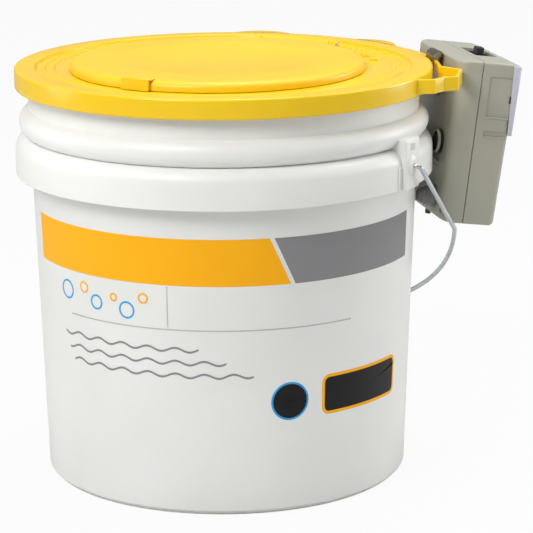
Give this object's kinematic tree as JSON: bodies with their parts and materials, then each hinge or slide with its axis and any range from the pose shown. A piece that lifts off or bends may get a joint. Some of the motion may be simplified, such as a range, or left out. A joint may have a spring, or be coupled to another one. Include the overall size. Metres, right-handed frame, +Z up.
{
  "type": "aerated bait bucket",
  "caption": "Round pail with a snap lid, a hinged hatch, a wire bail with a grip, and a battery air pump clipped to a loop on the lid.",
  "frame": {"origin": "centre of the pail's base", "axes": "+Z up the pail's axis; -Y towards the hatch's lift tab; +X and -X towards the ears of the bail"},
  "size_m": [0.3568, 0.3407, 0.3126],
  "materials": {
    "pail_plastic": "satin",
    "lid_plastic": "satin",
    "wire": "galvanised",
    "case_plastic": "fine satin",
    "panel_plastic": "matt",
    "clip_steel": "oiled spring steel",
    "bright_steel": "bright",
    "brass_plate": "satin",
    "black_rubber": "matt",
    "clear_rubber": "translucent",
    "black_plastic": "matt",
    "battery_jacket": "satin",
    "works_plastic": "satin"
  },
  "bodies": {
    "bucket": {"pail": "pail_plastic"},
    "bail": {"bail_wire": "wire"},
    "grip": {"bail_grip": "pail_plastic"},
    "lid": {"lid": "lid_plastic", "hatch_hinge_pin": "bright_steel"},
    "hatch": {"hatch": "lid_plastic"},
    "pump": {"pump_back_case": "case_plastic", "pump_front_case": "case_plastic", "front_panel": "panel_plastic", "spring_clip": "clip_steel", "clip_rivets": "bright_steel", "case_screws": "bright_steel", "upper_bumpers": "black_rubber", "lower_bumpers": "clear_rubber", "switch_body": "black_plastic", "batteries": "battery_jacket", "battery_springs": "bright_steel", "contact_plates": "brass_plate", "motor": "bright_steel", "motor_mount": "black_plastic", "rocker_pin": "bright_steel", "diaphragm": "black_rubber", "air_chamber": "works_plastic", "air_tube": "clear_rubber", "air_outlet": "black_plastic"},
    "battery_door": {"battery_door": "case_plastic"},
    "switch": {"switch_knob": "black_plastic"},
    "motor_shaft": {"eccentric_shaft": "bright_steel"},
    "rocker": {"rocker_arm": "works_plastic"}
  },
  "joints": [
    {"name": "bail_swing", "type": "hinge", "parent": "bucket", "child": "bail", "pos_m": [0, 0, 0.2445], "axis": [1, 0, 0], "range_deg": [0, 5.5]},
    {"name": "grip_spin", "type": "hinge", "parent": "bail", "child": "grip", "pos_m": [0, 0.15176, 0.09274], "axis": [1, 0, 0], "continuous": true},
    {"name": "lid_lift", "type": "slide", "parent": "bucket", "child": "lid", "axis": [0, 0, 1], "range_m": [0, 0.014]},
    {"name": "hatch_hinge", "type": "hinge", "parent": "lid", "child": "hatch", "pos_m": [0, 0.108, 0.3072], "axis": [-1, 0, 0], "range_deg": [0, 105]},
    {"name": "pump_unclip", "type": "hinge", "parent": "lid", "child": "pump", "pos_m": [0.04352, 0.0413, 0.306], "axis": [0.6884, -0.7254, 0], "range_deg": [0, 16]},
    {"name": "battery_door_slide", "type": "slide", "parent": "pump", "child": "battery_door", "axis": [-0.1085, -0.103, -0.9887], "range_m": [0, 0.022]},
    {"name": "switch_slide", "type": "slide", "parent": "pump", "child": "switch", "axis": [-0.6884, 0.7254, 0], "range_m": [0, 0.004]},
    {"name": "motor_spin", "type": "hinge", "parent": "pump", "child": "motor_shaft", "pos_m": [0.13424, 0.12739, 0.28005], "axis": [-0.6884, 0.7254, 0], "continuous": true},
    {"name": "rocker_swing", "type": "hinge", "parent": "pump", "child": "rocker", "pos_m": [0.12467, 0.13898, 0.28829], "axis": [-0.7197, -0.6829, 0.1253], "range_deg": [-1.8, 6], "deforming": ["diaphragm"]}
  ]
}
